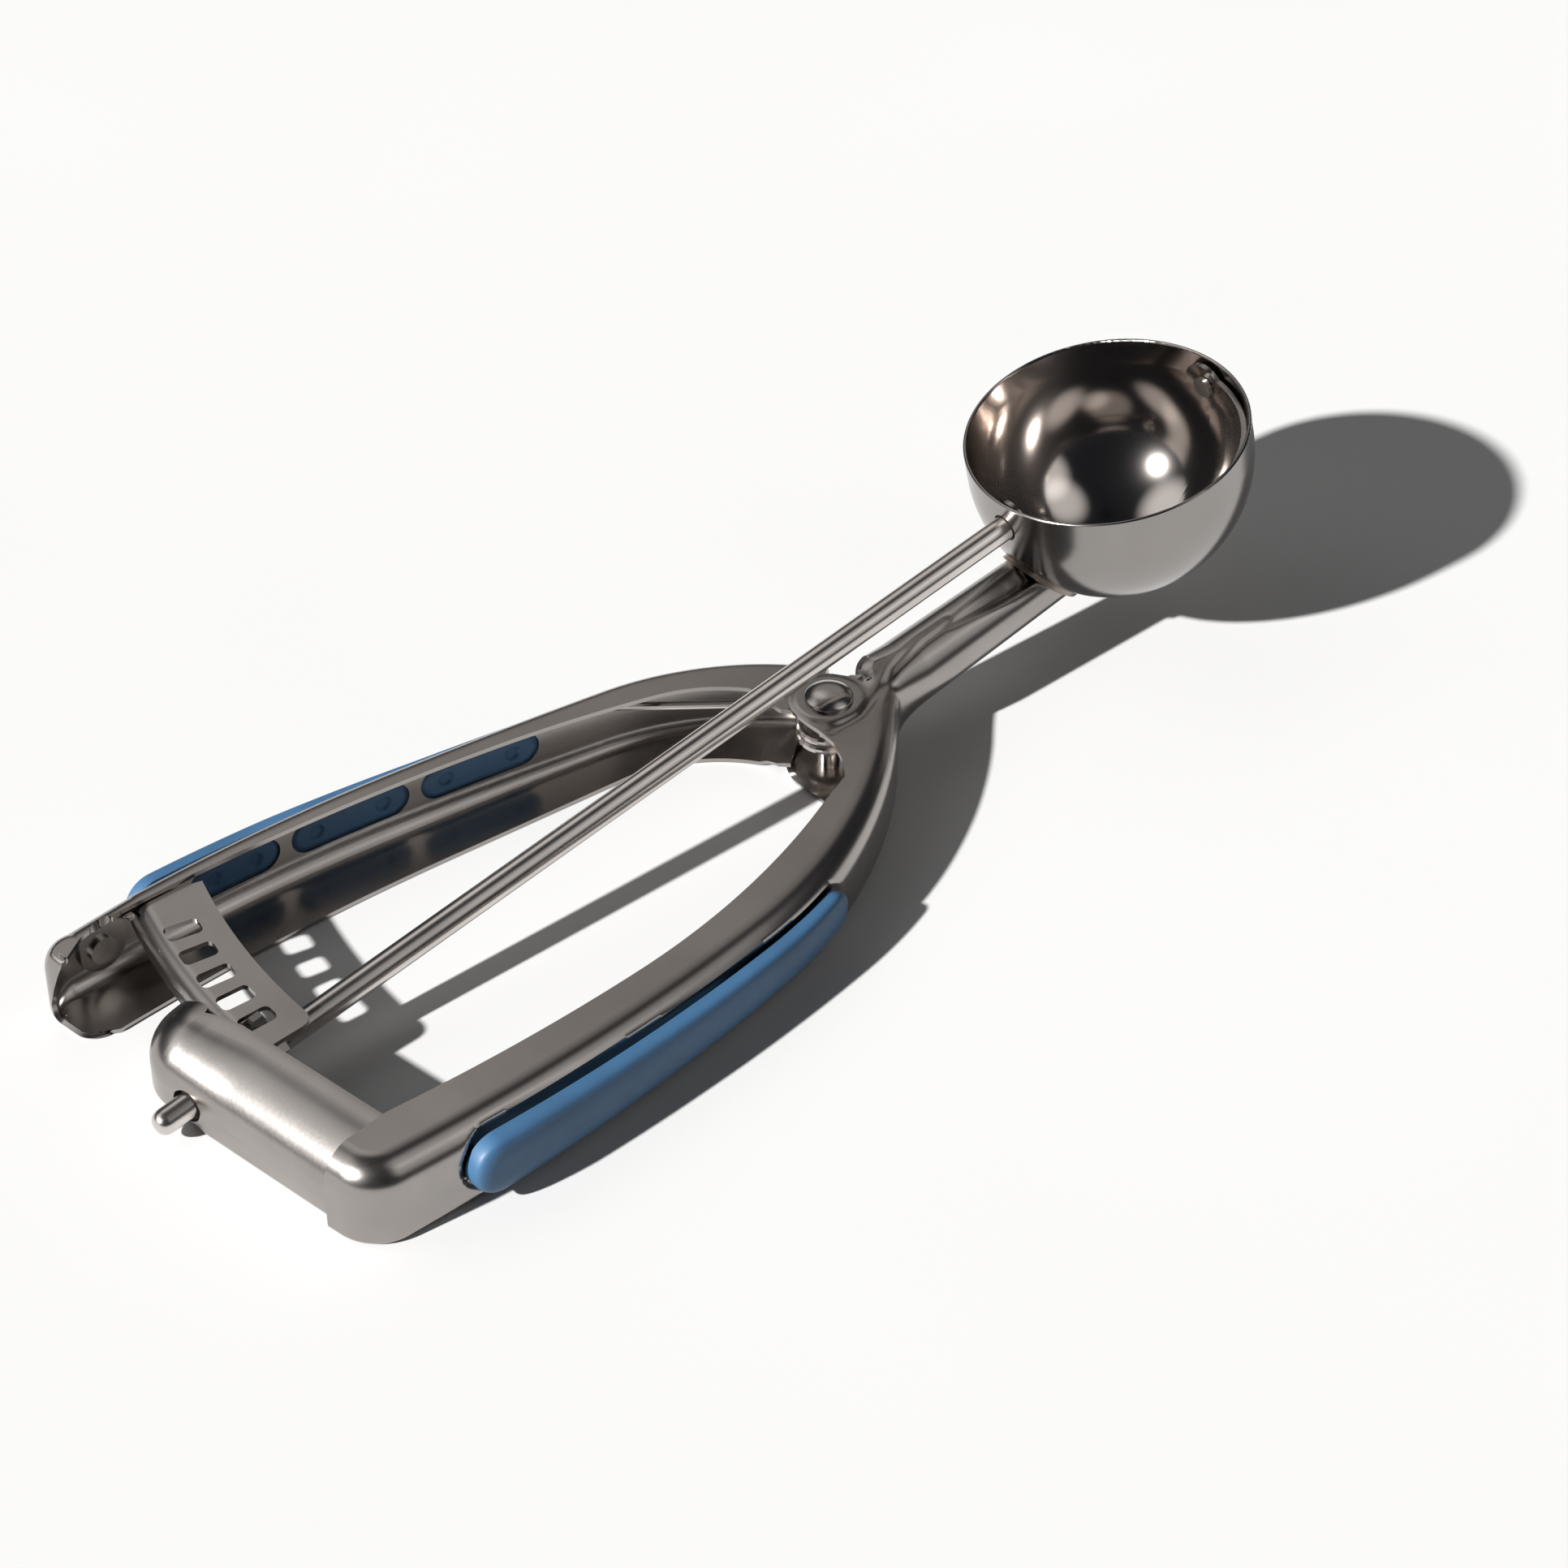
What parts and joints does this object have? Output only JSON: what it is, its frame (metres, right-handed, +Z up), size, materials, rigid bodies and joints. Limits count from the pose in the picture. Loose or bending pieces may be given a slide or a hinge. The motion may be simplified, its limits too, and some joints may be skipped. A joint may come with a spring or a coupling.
{
  "type": "lever ice cream scoop",
  "caption": "Steel ice cream scoop: deep round bowl, rolled neck, two bowed spring handles with soft blue grips, slotted rack turning a spindle and sweeper.",
  "frame": {"origin": "middle of the bounding box, at the level of the table that the handles lie on", "axes": "+X from the handles towards the bowl, +Y towards the moving handle, +Z up, out of the bowl's mouth"},
  "size_m": [0.2086, 0.0798, 0.0409],
  "materials": {
    "bowl_steel": "satin outside, polished inside",
    "weld_steel": "weld bead, ground",
    "handle_steel": "satin",
    "grip_blue": "soft matt",
    "rivet_steel": "polished",
    "spring_steel": "drawn wire",
    "rack_steel": "stamped, satin",
    "rod_steel": "drawn rod"
  },
  "bodies": {
    "fixed_side": {"bowl": "bowl_steel", "neck_weld": "weld_steel", "fixed_handle": "handle_steel", "bridge": "handle_steel", "fixed_grip": "grip_blue", "pivot_rivet": "rivet_steel", "torsion_spring": "spring_steel", "tip_rivet": "rivet_steel"},
    "moving_side": {"moving_handle": "handle_steel", "rack": "rack_steel", "rack_rivet": "rivet_steel", "moving_grip": "grip_blue"},
    "spindle_side": {"spindle": "rod_steel", "pinion": "rack_steel", "sweeper": "bowl_steel"}
  },
  "joints": [
    {"name": "handle_squeeze", "type": "hinge", "parent": "fixed_side", "child": "moving_side", "pos_m": [0.02181, 0.00119, 0], "axis": [0, 0, 1], "range_deg": [0, 9], "stiffness_Nm_per_rad": 1.2, "springref_deg": -28.65, "deforming": ["torsion_spring"]},
    {"name": "spindle_turn", "type": "hinge", "parent": "fixed_side", "child": "spindle_side", "pos_m": [0.0807, 0.00159, 0.03236], "axis": [0.9881, 0, 0.1536], "range_deg": [0, 180]}
  ],
  "couplings": [
    {"joint": "spindle_turn", "follows": "handle_squeeze", "ratio": 20}
  ]
}
